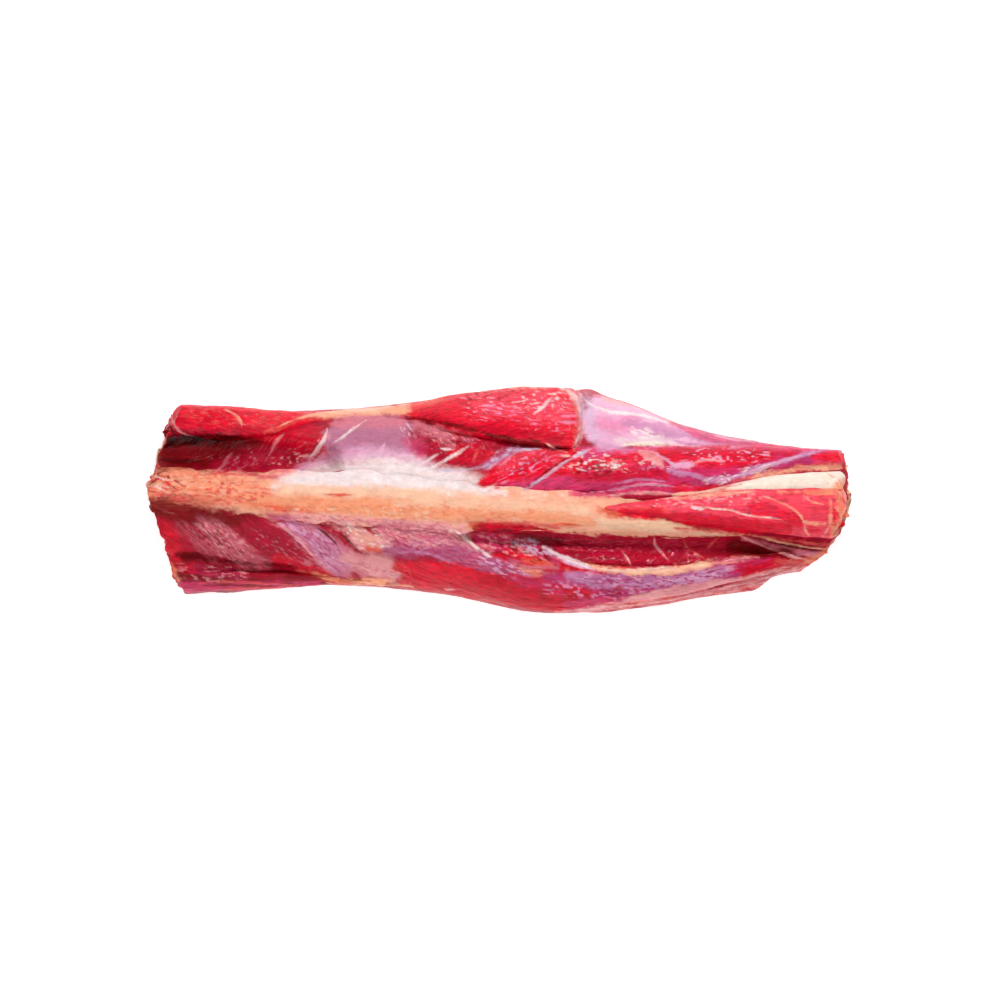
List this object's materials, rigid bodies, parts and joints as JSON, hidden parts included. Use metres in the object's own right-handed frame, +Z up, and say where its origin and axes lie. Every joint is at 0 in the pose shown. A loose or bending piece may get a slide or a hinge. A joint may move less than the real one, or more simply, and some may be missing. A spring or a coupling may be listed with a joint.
{
  "type": "raw bone-in mutton loin",
  "caption": "Whole raw loin of mutton on the bone, cut through at both ends, with fat along its crest and trimmed muscles on both slopes.",
  "frame": {"origin": "under the middle of the loin, on the face that it rests on", "axes": "+X along the backbone from the broad cut end to the narrow one, +Y to the far flank, +Z up"},
  "size_m": [0.42, 0.137, 0.0688],
  "materials": {
    "meat": "wet raw muscle, deep red to pink, with pale silverskin and fine fat seams",
    "fat": "moist cream to orange fat and pale sinew",
    "bone": "fresh sawn bone, pale cream with pink marrow"
  },
  "bodies": {
    "root": {"meat": "meat", "back_fat": "fat", "backbone": "bone"}
  },
  "joints": []
}
